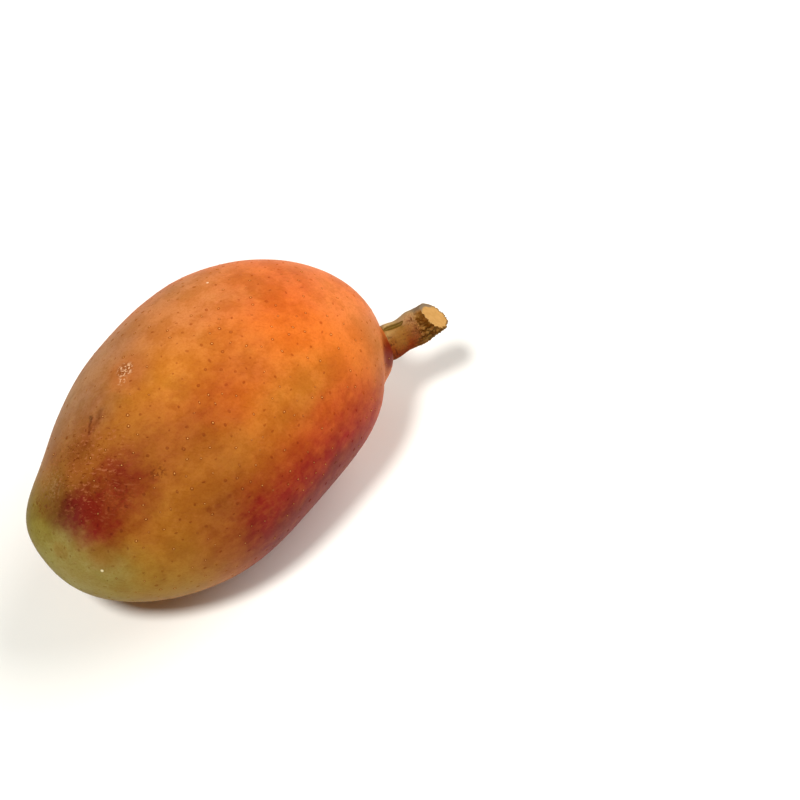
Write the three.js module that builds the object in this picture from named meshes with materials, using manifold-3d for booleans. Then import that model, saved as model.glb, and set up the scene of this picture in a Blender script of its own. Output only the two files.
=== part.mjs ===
// A whole mango with the stub of its woody stem, lying on its side on a small flat spot.
// Millimetres, +Z up. +X points towards the stem end, -X towards the beak.
//
// The pieces are drawn in the fruit's own frame: +X to the stem end, +Y to the belly, which is
// the fuller side and the side that the beak leans to, and +Z to the cheek that lies uppermost.
// A direction from the fruit's centre is given by two angles, in degrees: `round`, from the
// stem end towards the belly, and `up`, from there towards the upper cheek. The group then
// rolls and tilts the pieces together, as the fruit lies.

import * as THREE from 'three';
import { mergeVertices } from 'three/addons/utils/BufferGeometryUtils.js';
import Module from 'manifold-3d';

const { degToRad, smoothstep } = THREE.MathUtils;

// ---- The fruit ----
const HALF_LENGTH = 65;       // centre to stem end, before the swellings
const HALF_WIDTH = 38.5;      // centre to back and to belly
const HALF_THICKNESS = 36;    // centre to each cheek
const FRUIT_SEGMENTS = 26;    // facets along a quarter of the way round

// Soft swellings and hollows of the skin: where each one is, how far it stands out or sinks
// in, how many degrees it spreads over, and how steep its sides are (1 is a round hill).
const SWELLINGS = {
  bellyShoulder: { round: 54, up: 0, height: 4.9, spread: 28, steepness: 1 },
  sinus: { round: 160, up: 0, height: -6.1, spread: 22, steepness: 1 },
  beak: { round: 168, up: 0, height: 2.8, spread: 7, steepness: 1 },
  stemEndFlat: { round: 5, up: 0, height: -1.5, spread: 14, steepness: 1 },
  backShoulder: { round: -34, up: 0, height: 1.7, spread: 14, steepness: 1 },
  backFlat: { round: -74, up: 0, height: -0.9, spread: 24, steepness: 1 },
  lowerBack: { round: -121, up: 0, height: 2.8, spread: 27, steepness: 1 },
  neck: { round: -13.5, up: 1.5, height: 2.4, spread: 6.2, steepness: 2 },
};

// ---- How it lies ----
const ROLL = 28;              // degrees: the belly side raised
const TILT = 2.5;             // degrees: the stem end raised
const FLAT_SPOT_DEPTH = 0.8;  // how far the skin is pressed flat underneath

// ---- The stem ----
const STEM_FOOT = { round: -13.5, up: 1.5 };     // the place on the fruit, in the middle of the neck
const STEM_TIP = { round: -7, up: 26.5 };        // the way the tip points
const STEM_CUT = { round: 7, up: 47 };           // the way the slanted cut faces
const STEM_RADIUS = 5;
const STEM_ROOT_DEPTH = 4.5;                     // sunk below the top of the neck
const STEM_KNEE = 5.5;                           // from the top of the neck to the bend
const STEM_REACH = 12.5;                         // from the bend to the middle of the cut
const STEM_SIDES = 28;
const STEM_RINGS = 22;
const SOCKET_GAP = 0.3;                          // clear all round the stem's foot
const SLANT_START = 0.55;                        // share of the stem where the rings begin to slant

const FOOT_FLARE = { growth: 0.9, length: 3.2 };              // wider where it leaves the neck
const OLD_SCAR = { at: 0.64, growth: 0.5, length: 3 };        // swollen ring of a shed side stalk
const CUT_LIP = { growth: 0.2, length: 2 };                   // bark pushed out by the cut
const GROOVE = { at: 0.31, side: 60, depth: 0.8, length: 3.2, width: 14 };
const OUT_OF_ROUND = [{ lobes: 2, share: 0.035, turn: 20 }, { lobes: 3, share: 0.025, turn: 75 }];

const COLOURS = { skin: 0xc4692c, bark: 0x87552a };

const wasm = await Module();
wasm.setup();

function direction({ round, up }) {
  const a = degToRad(round);
  const b = degToRad(up);
  return new THREE.Vector3(Math.cos(a) * Math.cos(b), Math.sin(a) * Math.cos(b), Math.sin(b));
}

const SWELLING_LIST = Object.values(SWELLINGS).map((one) => ({ ...one, towards: direction(one) }));

// Distance from the centre to the skin along a unit vector.
function skinRadius(way) {
  const plain = 1 / Math.hypot(way.x / HALF_LENGTH, way.y / HALF_WIDTH, way.z / HALF_THICKNESS);
  return SWELLING_LIST.reduce((radius, { towards, height, spread, steepness }) => {
    const away = Math.max(0, 1 - way.dot(towards)) / degToRad(spread) ** 2;
    return radius + height * Math.exp(-(away ** steepness));
  }, plain);
}

function skinPoint(place) {
  const way = direction(place);
  return way.multiplyScalar(skinRadius(way));
}

// A ball made from a cube's six faces, so that its facets are alike and it has no poles.
function fruitGeometry() {
  const n = FRUIT_SEGMENTS;
  const geometry = plainMesh(new THREE.BoxGeometry(2, 2, 2, n, n, n));
  const corners = geometry.getAttribute('position');
  const way = new THREE.Vector3();
  for (let i = 0; i < corners.count; i += 1) {
    way.fromBufferAttribute(corners, i);
    way.set(...way.toArray().map((c) => Math.tan((c * Math.PI) / 4))).normalize();
    way.multiplyScalar(skinRadius(way));
    corners.setXYZ(i, way.x, way.y, way.z);
  }
  return geometry;
}

// The line that the middle of the stem follows: out of the neck, then bent towards its tip.
function stemPath() {
  const out = direction(STEM_FOOT);
  const neckTop = skinPoint(STEM_FOOT);
  const root = neckTop.clone().addScaledVector(out, -STEM_ROOT_DEPTH);
  const knee = neckTop.clone().addScaledVector(out, STEM_KNEE);
  const tip = knee.clone().addScaledVector(direction(STEM_TIP), STEM_REACH);
  return new THREE.QuadraticBezierCurve3(root, knee, tip);
}

const hill = (distance, length) => Math.exp(-((distance / length) ** 2));

// Radius of the stem at a share of its length and an angle round it.
// Angle 0 faces the upper cheek, and it grows towards the belly.
function stemRadius(share, angle, length) {
  const fromNeck = share * length - STEM_ROOT_DEPTH;
  const flare = FOOT_FLARE.growth * hill(Math.max(0, fromNeck), FOOT_FLARE.length);
  const scar = OLD_SCAR.growth * hill((share - OLD_SCAR.at) * length, OLD_SCAR.length);
  const lip = CUT_LIP.growth * hill((1 - share) * length, CUT_LIP.length);
  const lobes = OUT_OF_ROUND.reduce(
    (sum, { lobes: count, share: part, turn }) => sum + part * Math.cos(count * (angle - degToRad(turn))),
    1,
  );
  const sideways = (angle - degToRad(GROOVE.side)) / degToRad(GROOVE.width);
  const groove = GROOVE.depth * hill(sideways, 1) * hill((share - GROOVE.at) * length, GROOVE.length);
  return (STEM_RADIUS + flare + scar + lip) * lobes - groove;
}

// The stem's closed skin, as rings along its path with a cap on each end. `gap` grows it all
// round and at the root, and `upTo` is the share of the path that it covers.
function stemGeometry(gap, upTo) {
  const path = stemPath();
  const length = path.getLength();
  const tipWay = path.getTangent(1);
  const cutWay = direction(STEM_CUT);
  const points = [];
  for (let ring = 0; ring <= STEM_RINGS; ring += 1) {
    const share = (upTo * ring) / STEM_RINGS;
    const along = path.getTangent(share);
    const middle = path.getPoint(share).addScaledVector(along, ring === 0 ? -gap : 0);
    const belly = new THREE.Vector3(0, 0, 1).cross(along).normalize();
    const cheek = along.clone().cross(belly);
    const slant = smoothstep(share, SLANT_START, 1);
    for (let side = 0; side < STEM_SIDES; side += 1) {
      const angle = (2 * Math.PI * side) / STEM_SIDES;
      const radius = stemRadius(share, angle, length) + gap;
      const offset = cheek.clone().multiplyScalar(radius * Math.cos(angle));
      offset.addScaledVector(belly, radius * Math.sin(angle));
      offset.addScaledVector(tipWay, (-slant * offset.dot(cutWay)) / tipWay.dot(cutWay));
      points.push(offset.add(middle));
    }
  }
  const capMiddle = (ring) => {
    const sum = new THREE.Vector3();
    for (let side = 0; side < STEM_SIDES; side += 1) sum.add(points[ring * STEM_SIDES + side]);
    return sum.divideScalar(STEM_SIDES);
  };
  const rootMiddle = points.push(capMiddle(0)) - 1;
  const cutMiddle = points.push(capMiddle(STEM_RINGS)) - 1;

  const triangles = [];
  for (let side = 0; side < STEM_SIDES; side += 1) {
    const next = (side + 1) % STEM_SIDES;
    for (let ring = 0; ring < STEM_RINGS; ring += 1) {
      const low = ring * STEM_SIDES;
      const high = low + STEM_SIDES;
      triangles.push(low + side, high + side, low + next, low + next, high + side, high + next);
    }
    const last = STEM_RINGS * STEM_SIDES;
    triangles.push(rootMiddle, side, next, cutMiddle, last + next, last + side);
  }
  const geometry = new THREE.BufferGeometry().setFromPoints(points);
  geometry.setIndex(triangles);
  return geometry;
}

// Only positions, with shared corners merged, as a solid needs.
function plainMesh(geometry) {
  geometry.deleteAttribute('normal');
  geometry.deleteAttribute('uv');
  return mergeVertices(geometry);
}

function toSolid(geometry) {
  return new wasm.Manifold(new wasm.Mesh({
    numProp: 3,
    vertProperties: new Float32Array(geometry.getAttribute('position').array),
    triVerts: new Uint32Array(geometry.getIndex().array),
  }));
}

function toGeometry(solid) {
  const { vertProperties, triVerts } = solid.getMesh();
  const geometry = new THREE.BufferGeometry();
  geometry.setAttribute('position', new THREE.BufferAttribute(vertProperties, 3));
  geometry.setIndex(new THREE.BufferAttribute(triVerts, 1));
  return geometry;
}

// The block below the surface that the fruit lies on, turned into the fruit's own frame.
function surfaceBlock(fruit, lie) {
  const lowest = new THREE.Box3().setFromBufferAttribute(
    fruit.getAttribute('position').clone().applyMatrix4(lie),
  ).min.z;
  const block = plainMesh(new THREE.BoxGeometry(4 * HALF_LENGTH, 4 * HALF_LENGTH, HALF_LENGTH));
  block.translate(0, 0, lowest + FLAT_SPOT_DEPTH - HALF_LENGTH / 2);
  return block.applyMatrix4(lie.clone().invert());
}

function skinMaterial() {
  return new THREE.MeshStandardMaterial({ color: COLOURS.skin, roughness: 0.45, metalness: 0 });
}

function barkMaterial() {
  return new THREE.MeshStandardMaterial({ color: COLOURS.bark, roughness: 0.85, metalness: 0 });
}

const group = new THREE.Group();
group.rotation.set(degToRad(ROLL), -degToRad(TILT), 0, 'ZYX');
group.updateMatrixWorld();

const wholeFruit = fruitGeometry();
const restingFruit = toSolid(wholeFruit).subtract(toSolid(surfaceBlock(wholeFruit, group.matrixWorld)));
const socket = toSolid(stemGeometry(SOCKET_GAP, SLANT_START));

const fruit = new THREE.Mesh(toGeometry(restingFruit.subtract(socket)), skinMaterial());
fruit.name = 'fruit';
const stem = new THREE.Mesh(stemGeometry(0, 1), barkMaterial());
stem.name = 'stem';
group.add(fruit, stem);

// The flat spot goes down to z = 0 and the middle of the whole to x = y = 0.
const box = new THREE.Box3().setFromObject(group, true);
const middle = box.getCenter(new THREE.Vector3());
group.position.set(-middle.x, -middle.y, -box.min.z);

export default group;
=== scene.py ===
# %% [markdown]
# # A ripe mango, lying on its side
#
# The real thing is one stocky oval fruit with the stub of its woody stem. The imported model
# already says how big it is and where it rests, so this lesson starts by loading that model
# as a fixed frame, and then builds finer pieces that take the place of its two solids.
#
# Everything is in metres, +Z up, with the fruit's stem end towards +X.

# %% Load the frame
import math

import bpy
from mathutils import Euler, Matrix, Vector
from mathutils.bvhtree import BVHTree


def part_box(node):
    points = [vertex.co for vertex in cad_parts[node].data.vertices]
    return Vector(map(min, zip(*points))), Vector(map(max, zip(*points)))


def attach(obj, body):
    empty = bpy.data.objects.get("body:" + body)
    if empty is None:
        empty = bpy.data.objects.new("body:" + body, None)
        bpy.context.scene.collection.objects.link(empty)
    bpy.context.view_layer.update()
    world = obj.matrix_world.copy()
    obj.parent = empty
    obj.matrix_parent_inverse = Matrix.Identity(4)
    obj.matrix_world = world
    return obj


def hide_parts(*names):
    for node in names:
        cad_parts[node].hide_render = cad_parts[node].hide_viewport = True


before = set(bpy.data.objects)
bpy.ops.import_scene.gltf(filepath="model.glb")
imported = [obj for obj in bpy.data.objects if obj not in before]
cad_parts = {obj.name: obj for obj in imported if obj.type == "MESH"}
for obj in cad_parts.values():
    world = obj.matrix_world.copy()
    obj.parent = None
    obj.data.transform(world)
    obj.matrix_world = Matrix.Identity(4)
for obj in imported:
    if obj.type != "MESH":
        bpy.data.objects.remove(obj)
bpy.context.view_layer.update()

MM = 0.001
fruit_low, fruit_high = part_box("fruit")
fruit_middle = (fruit_low + fruit_high) / 2

# %% [markdown]
# ## The camera
#
# The fruit is seen from above and from the beak's side, so that it runs away towards the
# upper right. A camera could be turned by hand until it looks right. Here two angles and a
# distance place it, because they are easy to read and to change. The view looks past the
# fruit, which leaves the fruit on its left.

# %% Camera
VIEW_TURN = math.radians(-45.7)    # round from a view along +Y
VIEW_RISE = math.radians(52)       # up from level
VIEW_DISTANCE = 480 * MM
LENS_WIDTH = 36.0            # mm of sensor that the view is wide
LENS_LENGTH = 72.3           # mm
AIM_RIGHT = 57.35 * MM       # how far right of the fruit's own centre the view looks
AIM_ABOVE = 8.66 * MM        # and how far above it

view_right = Vector((math.cos(VIEW_TURN), math.sin(VIEW_TURN), 0))
view_back = Vector((
    math.sin(VIEW_TURN) * math.cos(VIEW_RISE),
    -math.cos(VIEW_TURN) * math.cos(VIEW_RISE),
    math.sin(VIEW_RISE),
))
view_up = view_back.cross(view_right)


def place_camera(centre):
    """Looks past the fruit's centre from the chosen side."""
    lens = bpy.data.cameras.new("camera")
    lens.sensor_width = LENS_WIDTH
    lens.lens = LENS_LENGTH
    camera = bpy.data.objects.new("camera", lens)
    bpy.context.scene.collection.objects.link(camera)
    aim = centre + view_right * AIM_RIGHT + view_up * AIM_ABOVE
    turn = Matrix((view_right, view_up, view_back)).transposed().to_4x4()
    camera.matrix_world = Matrix.Translation(aim + view_back * VIEW_DISTANCE) @ turn
    bpy.context.scene.camera = camera
    print("camera stands at, mm:", [round(value / MM) for value in camera.location])


# %% [markdown]
# ## Wires: sums written as sums
#
# A fruit is smooth all over, so its shape is best said by a formula, and so is the colour of
# its skin. In Blender a formula is a chain of math nodes. Making each node by hand takes five
# lines, so two small classes stand for an output of a node, and make the next node when they
# are added, multiplied or measured. The same classes serve geometry and shader trees. They
# rest on two helpers, which make a node and feed its inputs.

# %% Nodes and plugs
def connect(plug, value):
    """Feeds an input with a wire, or with a plain number or vector."""
    if isinstance(value, Number):
        value.tree.links.new(value.socket, plug)
    else:
        plug.default_value = value


def add_node(tree, kind, **settings):
    node = tree.nodes.new(kind)
    for name, value in settings.items():
        setattr(node, name, value)
    return node


# %% [markdown]
# A wire that carries a number knows its tree, so a sum of two wires knows where to put its
# node. Plain numbers can take part in a sum too.

# %% Wires for numbers
class Number:
    """An output that carries a number."""

    def __init__(self, tree, socket):
        self.tree = tree
        self.socket = socket

    def math(self, operation, *others):
        node = add_node(self.tree, "ShaderNodeMath", operation=operation)
        for plug, value in zip(node.inputs, (self, *others)):
            connect(plug, value)
        return Number(self.tree, node.outputs[0])

    def __add__(self, other):
        return self.math("ADD", other)

    def __sub__(self, other):
        return self.math("SUBTRACT", other)

    def __mul__(self, other):
        return self.math("MULTIPLY", other)

    def __truediv__(self, other):
        return self.math("DIVIDE", other)

    def __pow__(self, other):
        return self.math("POWER", other)

    def between(self, low, high):
        """0 below low, 1 above high, and a soft step from one to the other."""
        node = add_node(self.tree, "ShaderNodeMapRange", interpolation_type="SMOOTHSTEP")
        connect(node.inputs["Value"], self)
        connect(node.inputs["From Min"], low)
        connect(node.inputs["From Max"], high)
        return Number(self.tree, node.outputs["Result"])


# %% [markdown]
# A wire that carries a vector makes vector nodes from the same signs, and has more sums:
# lengths, products, and its three parts.

# %% Wires for vectors
class Arrow(Number):
    """An output that carries a vector."""

    def vector_math(self, operation, *others):
        node = add_node(self.tree, "ShaderNodeVectorMath", operation=operation)
        for plug, value in zip(node.inputs, (self, *others)):
            connect(plug, value)
        return node

    def math(self, operation, *others):
        return Arrow(self.tree, self.vector_math(operation, *others).outputs["Vector"])

    def measure(self, operation, *others):
        return Number(self.tree, self.vector_math(operation, *others).outputs["Value"])

    def scaled(self, factor):
        node = self.vector_math("SCALE")
        connect(node.inputs["Scale"], factor)
        return Arrow(self.tree, node.outputs["Vector"])

    def dot(self, other):
        return self.measure("DOT_PRODUCT", other)

    def cross(self, other):
        return self.math("CROSS_PRODUCT", other)

    def length(self):
        return self.measure("LENGTH")

    def unit(self):
        return self.math("NORMALIZE")

    def parts(self):
        node = add_node(self.tree, "ShaderNodeSeparateXYZ")
        connect(node.inputs[0], self)
        return [Number(self.tree, plug) for plug in node.outputs]


# %% [markdown]
# Three numbers make a vector. A plain number has to be made a wire where a sum starts with
# it, because it knows no tree.

# %% Make a wire
def arrow_from(tree, x, y, z):
    node = add_node(tree, "ShaderNodeCombineXYZ")
    for plug, value in zip(node.inputs, (x, y, z)):
        connect(plug, value)
    return Arrow(tree, node.outputs[0])


def fixed(tree, value):
    """A plain number as a wire."""
    node = add_node(tree, "ShaderNodeValue")
    node.outputs[0].default_value = value
    return Number(tree, node.outputs[0])


LEVEL = (1, 1, 0)            # times this, a vector keeps only its first two parts


# %% [markdown]
# Each tree below has named inputs, so that its sizes can be read and changed where it is
# used. These helpers open a tree, close it, and put one tree inside another.

# %% Trees with named inputs
def new_tree(name, kind, inputs, outputs):
    """A node tree with named inputs and outputs, and its inputs as wires."""
    tree = bpy.data.node_groups.new(name, kind)
    for label, sort in inputs.items():
        tree.interface.new_socket(label, in_out="INPUT", socket_type="NodeSocket" + sort)
    for label, sort in outputs.items():
        tree.interface.new_socket(label, in_out="OUTPUT", socket_type="NodeSocket" + sort)
    entry = tree.nodes.new("NodeGroupInput")
    wires = {}
    for label, sort in inputs.items():
        wrap = Arrow if sort == "Vector" else Number
        wires[label] = wrap(tree, entry.outputs[label])
    return tree, wires


def finish_tree(tree, **results):
    """Joins wires to the tree's outputs, whose names have a space for each underscore."""
    leave = tree.nodes.new("NodeGroupOutput")
    for label, wire in results.items():
        connect(leave.inputs[label.replace("_", " ")], wire)
    print("tree", repr(tree.name), "has", len(tree.nodes), "nodes")


def use_group(tree, group, **values):
    """Puts a group into a tree with its own values, and gives the node back."""
    kind = "GeometryNodeGroup" if tree.bl_idname == "GeometryNodeTree" else "ShaderNodeGroup"
    node = add_node(tree, kind, node_tree=group)
    for label, value in values.items():
        connect(node.inputs[label.replace("_", " ")], value)
    return node


# %% [markdown]
# ## Turning a tree into a plain piece
#
# A Geometry Nodes tree is a recipe. The finished piece has to be an ordinary mesh, so the
# recipe is run once, its result is kept, and the modifier is taken away.

# %% Run a tree
def run_tree(name, tree, values, start=None):
    """Runs a geometry tree with these inputs and keeps the result as a plain mesh object."""
    piece = bpy.data.objects.new(name, start or bpy.data.meshes.new(name))
    bpy.context.scene.collection.objects.link(piece)
    recipe = piece.modifiers.new("recipe", "NODES")
    recipe.node_group = tree
    for label, value in values.items():
        recipe[tree.interface.items_tree[label].identifier] = value
    graph = bpy.context.evaluated_depsgraph_get()
    result = bpy.data.meshes.new_from_object(
        piece.evaluated_get(graph), preserve_all_data_layers=True, depsgraph=graph
    )
    piece.modifiers.clear()
    piece.data = result
    result.name = name
    result.calc_loop_triangles()
    print(name, "has", len(result.loop_triangles), "triangles")
    return piece


# %% [markdown]
# ## Places on a mango
#
# A mango has a stem end, a beak, a fuller belly side and a flatter back, and two cheeks. Its
# own frame runs from the centre to the stem end (+X), the belly (+Y) and the upper cheek
# (+Z). A direction is given by two angles: round, from the stem end towards the belly, and
# up, from there towards the upper cheek.

# %% Directions on the fruit
def direction(turned, up):
    a, b = math.radians(turned), math.radians(up)
    return Vector((math.cos(a) * math.cos(b), math.sin(a) * math.cos(b), math.sin(b)))


ROLL = math.radians(28)      # the belly side is raised
TILT = math.radians(2.5)     # the stem end is raised
LYING = Euler((ROLL, -TILT, 0), "XYZ")
print("the fruit lies turned by, degrees:", [round(math.degrees(turn), 1) for turn in LYING])

# %% [markdown]
# ## The fruit's shape
#
# The body is nearly an ellipsoid, longer than wide and wider than thick, with soft swellings
# and hollows that make it a mango: a full shoulder on the belly side, a shallow bay above the
# beak, the beak itself, a flatter back, and a low neck of skin round the stem. It could be
# sculpted, but a formula keeps it exactly the size of the solid that it stands for: a
# distance from the centre for each direction, made of the ellipsoid and one hill for each
# swelling. The group below is one such hill.

# %% One swelling, as a group
swelling, pin = new_tree(
    "Swelling", "GeometryNodeTree",
    {"Way": "Vector", "Towards": "Vector", "Height": "Float", "Spread": "Float", "Steepness": "Float"},
    {"Rise": "Float"},
)
away = (pin["Way"].dot(pin["Towards"]) * -1 + 1).math("MAXIMUM", 0.0)
falloff = (away / (pin["Spread"] ** 2)) ** pin["Steepness"]
finish_tree(swelling, Rise=pin["Height"] * (falloff * -1).math("EXPONENT"))

# %% [markdown]
# Each swelling has a name, two angles, a height in millimetres, a spread in degrees and a
# steepness, where 1 is a round hill and 2 a flat-topped one. The last two belong together:
# the skin dips a little beside the stem, and rises round its foot as a low neck.

# %% The swellings of this fruit
SWELLINGS = {
    "belly shoulder": (54, 0, 4.9, 28, 1),
    "bay above the beak": (160, 0, -6.1, 22, 1),
    "beak": (168, 0, 2.8, 7, 1),
    "flat of the stem end": (5, 0, -1.5, 14, 1),
    "back shoulder": (-34, 0, 1.7, 14, 1),
    "flat of the back": (-74, 0, -0.9, 24, 1),
    "lower back": (-121, 0, 2.8, 27, 1),
    "dip round the neck": (-20, 6, -1.2, 6, 1),
    "neck round the stem": (-16, 1.8, 3.4, 4.8, 2),
}
HALF_SIZES = Vector((65, 38.5, 36)) * MM    # length, width and thickness, without the swellings
FLAT_SPOT_DEPTH = 0.8 * MM   # how far the skin is pressed in underneath
FACETS = 118                 # squares along a quarter of the way round
RELIEF = 0.22 * MM           # soft unevenness of a grown thing
RELIEF_HILLS = 2.6           # how close together its hills are
print("the skin has", 6 * FACETS ** 2, "squares and", len(SWELLINGS), "swellings")

# %% [markdown]
# A few steps come back in every geometry tree: reading a corner's place, moving it, keeping
# a value on it, and soft noise. The last nodes are the same too: they smooth the shading,
# make every copy real geometry and give the mesh its finish.

# %% Helpers for geometry trees
def places(tree):
    """Where each corner or point is."""
    return Arrow(tree, add_node(tree, "GeometryNodeInputPosition").outputs[0])


def set_place(tree, mesh, place):
    node = add_node(tree, "GeometryNodeSetPosition")
    connect(node.inputs["Geometry"], mesh)
    connect(node.inputs["Position"], place)
    return Number(tree, node.outputs[0])


def store(tree, mesh, name, value, kind):
    node = add_node(tree, "GeometryNodeStoreNamedAttribute", data_type=kind)
    node.inputs["Name"].default_value = name
    connect(node.inputs["Geometry"], mesh)
    connect(node.inputs["Value"], value)
    return Number(tree, node.outputs[0])


def noise(tree, vector, scale, detail=2.0, roughness=0.5):
    """Soft random hills between 0 and 1, the same each time."""
    node = add_node(tree, "ShaderNodeTexNoise")
    connect(node.inputs["Vector"], vector)
    for label, value in (("Scale", scale), ("Detail", detail), ("Roughness", roughness)):
        connect(node.inputs[label], value)
    return Number(tree, node.outputs[0])


def end_tree(tree, mesh, finish, output):
    """The nodes that every tree here ends in."""
    smooth = add_node(tree, "GeometryNodeSetShadeSmooth")
    connect(smooth.inputs[0], mesh)
    real = add_node(tree, "GeometryNodeRealizeInstances")
    tree.links.new(smooth.outputs[0], real.inputs[0])
    painted = add_node(tree, "GeometryNodeSetMaterial")
    tree.links.new(real.outputs[0], painted.inputs[0])
    connect(painted.inputs["Material"], finish)
    finish_tree(tree, **{output: Number(tree, painted.outputs[0])})


# %% [markdown]
# The tree starts from a cube, because its six faces leave no pole where facets crowd
# together. A tangent spreads its corners evenly over a ball.

# %% An even ball
def even_ball(tree, facets):
    """A cube's mesh and, for each of its corners, a unit vector, evenly spread."""
    corners = facets + 1
    cube = add_node(tree, "GeometryNodeMeshCube")
    cube.inputs["Size"].default_value = (2, 2, 2)
    for plug in ("Vertices X", "Vertices Y", "Vertices Z"):
        connect(cube.inputs[plug], corners)
    spread = places(tree).scaled(math.pi / 4).math("TANGENT")
    return Number(tree, cube.outputs["Mesh"]), spread.unit()


# %% [markdown]
# Each corner is then pushed out to the skin: the ellipsoid, a hill for each swelling, and a
# little unevenness. Its place in the fruit's own frame is stored, so that a later cell can
# find the fruit's centre again.

# %% The fruit's tree
def skin_out(tree, way, half_sizes, relief):
    """Distance from the centre to the skin along each unit vector."""
    out = (way / half_sizes).length() ** -1.0
    for name, (turned, up, height, spread, steepness) in SWELLINGS.items():
        hill = use_group(
            tree, swelling, Way=way, Towards=direction(turned, up), Height=height * MM,
            Spread=math.radians(spread), Steepness=float(steepness),
        )
        hill.label = name
        out = out + Number(tree, hill.outputs["Rise"])
    uneven = noise(tree, way, RELIEF_HILLS, detail=3.0) - 0.5    # up to a half either way
    return out + uneven * relief * 2


fruit_tree, pin = new_tree(
    "Mango fruit", "GeometryNodeTree",
    {"Half Sizes": "Vector", "Facets": "Int", "Relief": "Float", "Lying": "Rotation",
     "Middle": "Vector", "Flat Depth": "Float", "Finish": "Material"},
    {"Fruit": "Geometry"},
)
tree = fruit_tree
ball, way = even_ball(tree, pin["Facets"])
own_place = way.scaled(skin_out(tree, way, pin["Half Sizes"], pin["Relief"]))
shaped = store(tree, set_place(tree, ball, own_place), "own_place", places(tree), "FLOAT_VECTOR")

# %% [markdown]
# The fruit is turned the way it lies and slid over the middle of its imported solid. It sinks
# a little into the table, and what would be below is pressed flat.

# %% Lay the fruit down
turn = add_node(tree, "GeometryNodeTransform")
connect(turn.inputs["Geometry"], shaped)
connect(turn.inputs["Rotation"], pin["Lying"])
box = add_node(tree, "GeometryNodeBoundBox")
tree.links.new(turn.outputs[0], box.inputs[0])
low = Arrow(tree, box.outputs["Min"])
high = Arrow(tree, box.outputs["Max"])
slide_x, slide_y, _ = (pin["Middle"] - (low + high).scaled(0.5)).parts()
drop = (low.parts()[2] + pin["Flat Depth"]) * -1
x, y, z = (places(tree) + arrow_from(tree, slide_x, slide_y, drop)).parts()
pressed = arrow_from(tree, x, y, z.math("MAXIMUM", 0.0))
laid = set_place(tree, Number(tree, turn.outputs[0]), pressed)
end_tree(tree, laid, pin["Finish"], "Fruit")

# %% [markdown]
# The materials are only named here and painted further on, because the tree wants to know
# which one goes on its mesh. The highest corner is then known in two frames, the fruit's own
# and the table's, and the difference gives the fruit's centre.

# %% Make the fruit
skin_finish = bpy.data.materials.new("mango_skin")
bark_finish = bpy.data.materials.new("stem_bark")
pore_finish = bpy.data.materials.new("corky_pores")

fruit = run_tree("mango_fruit", fruit_tree, {
    "Half Sizes": HALF_SIZES,
    "Facets": FACETS,
    "Relief": RELIEF,
    "Lying": LYING,
    "Middle": fruit_middle,
    "Flat Depth": FLAT_SPOT_DEPTH,
    "Finish": skin_finish,
})

highest = max(fruit.data.vertices, key=lambda vertex: vertex.co.z)
own = Vector(fruit.data.attributes["own_place"].data[highest.index].vector)
lying_turn = LYING.to_matrix()
CENTRE = highest.co - lying_turn @ own
print("fruit's centre, mm:", [round(value / MM, 2) for value in CENTRE])
place_camera(CENTRE)

# %% [markdown]
# ## The stem
#
# Mangoes are cut with a short stub of their woody stem left on, about as thick as a pencil
# and a half. It leaves the neck, bends upwards, has the scar of an old shoot round it, and
# ends in a slanted cut. It could be a bevelled curve, but a curve's section stays the same
# all the way. A grid rolled round the path can swell, slant and crack along its length.
#
# The path is a Bezier curve: out of the neck, round a knee, towards the tip. It starts from
# the skin, so the distance from the centre to the skin is worked out once more, in Python.

# %% The stem's path
STEM_FOOT = (-13.0, 1.8)     # where it leaves the fruit, round and up
STEM_TIP = (-7, 26.5)        # which way its last part points
STEM_CUT = (7, 52)           # which way the cut faces
STEM_RADIUS = 5.0            # mm, as are all the sizes of the stem
ROOT_DEPTH = 3.7             # how far the root goes below the skin
KNEE_HEIGHT = 6.3            # from the skin to the knee
TIP_REACH = 10.2             # from the knee to the middle of the cut
PATH_STEPS = 200             # the length is measured in this many straight steps


def skin_distance(way):
    """The distance in mm from the centre to the skin along one direction."""
    out = 1 / Vector([a * MM / b for a, b in zip(way, HALF_SIZES)]).length
    for turned, up, height, spread, steepness in SWELLINGS.values():
        away = max(0, 1 - way.dot(direction(turned, up))) / math.radians(spread) ** 2
        out += height * math.exp(-(away ** steepness))
    return out


foot_way = direction(*STEM_FOOT)
neck_top = foot_way * skin_distance(foot_way)
root = neck_top - foot_way * ROOT_DEPTH
knee = neck_top + foot_way * KNEE_HEIGHT
tip = knee + direction(*STEM_TIP) * TIP_REACH


def path_point(share):
    return root * (1 - share) ** 2 + knee * 2 * share * (1 - share) + tip * share ** 2


steps = [path_point(step / PATH_STEPS) for step in range(PATH_STEPS + 1)]
STEM_LENGTH = sum((b - a).length for a, b in zip(steps, steps[1:]))
print("stem's length along its path, mm:", round(STEM_LENGTH, 2))

# %% [markdown]
# The tree below works on a flat grid. One side of the grid runs along the stem and the other
# goes once round it, and a few more rows at each end draw together into a closed face.

# %% A grid to roll up
STEM_SIDES = 150
STEM_RINGS = 130
CAP_RINGS = 14               # rows that close each end

stem_tree, pin = new_tree(
    "Woody stem", "GeometryNodeTree",
    {"Root": "Vector", "Knee": "Vector", "Tip": "Vector", "Cut Way": "Vector", "Length": "Float",
     "Radius": "Float", "Cracks": "Float", "Lying": "Rotation", "Centre": "Vector",
     "Finish": "Material"},
    {"Stem": "Geometry"},
)
tree = stem_tree


def clamp(number):
    return number.math("MAXIMUM", 0.0).math("MINIMUM", 1.0)


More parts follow.
